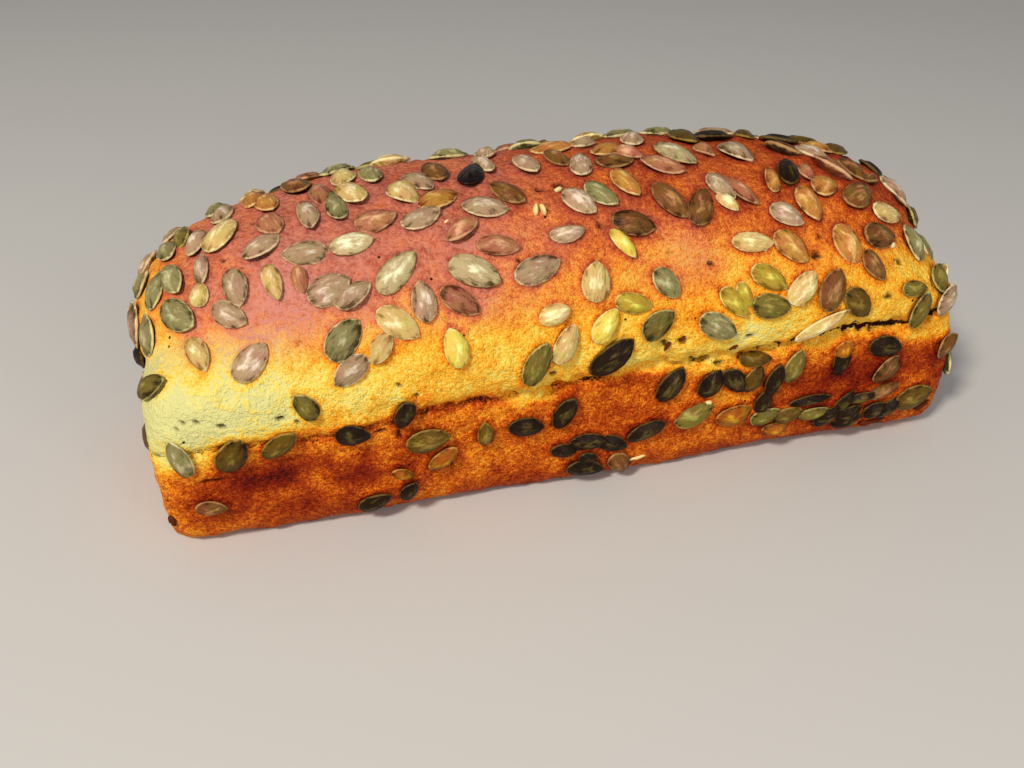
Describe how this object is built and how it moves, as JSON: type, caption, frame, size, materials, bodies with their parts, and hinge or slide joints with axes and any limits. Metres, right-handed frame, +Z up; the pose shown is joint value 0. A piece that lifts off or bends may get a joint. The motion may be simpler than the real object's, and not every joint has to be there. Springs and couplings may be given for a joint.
{
  "type": "pumpkin seed bread loaf",
  "caption": "Long tin-baked bread loaf with a domed browned crust set all over with pumpkin seeds, standing on its flat base.",
  "frame": {"origin": "the middle of the flat base, on the surface that the loaf stands on", "axes": "+X along the loaf to the end on the right of the picture, -Y towards the side that the picture shows, +Z up"},
  "size_m": [0.2936, 0.1143, 0.1079],
  "materials": {
    "crust": "matt baked crust with satin seeds"
  },
  "bodies": {
    "root": {"seeded_loaf": "crust"}
  },
  "joints": []
}
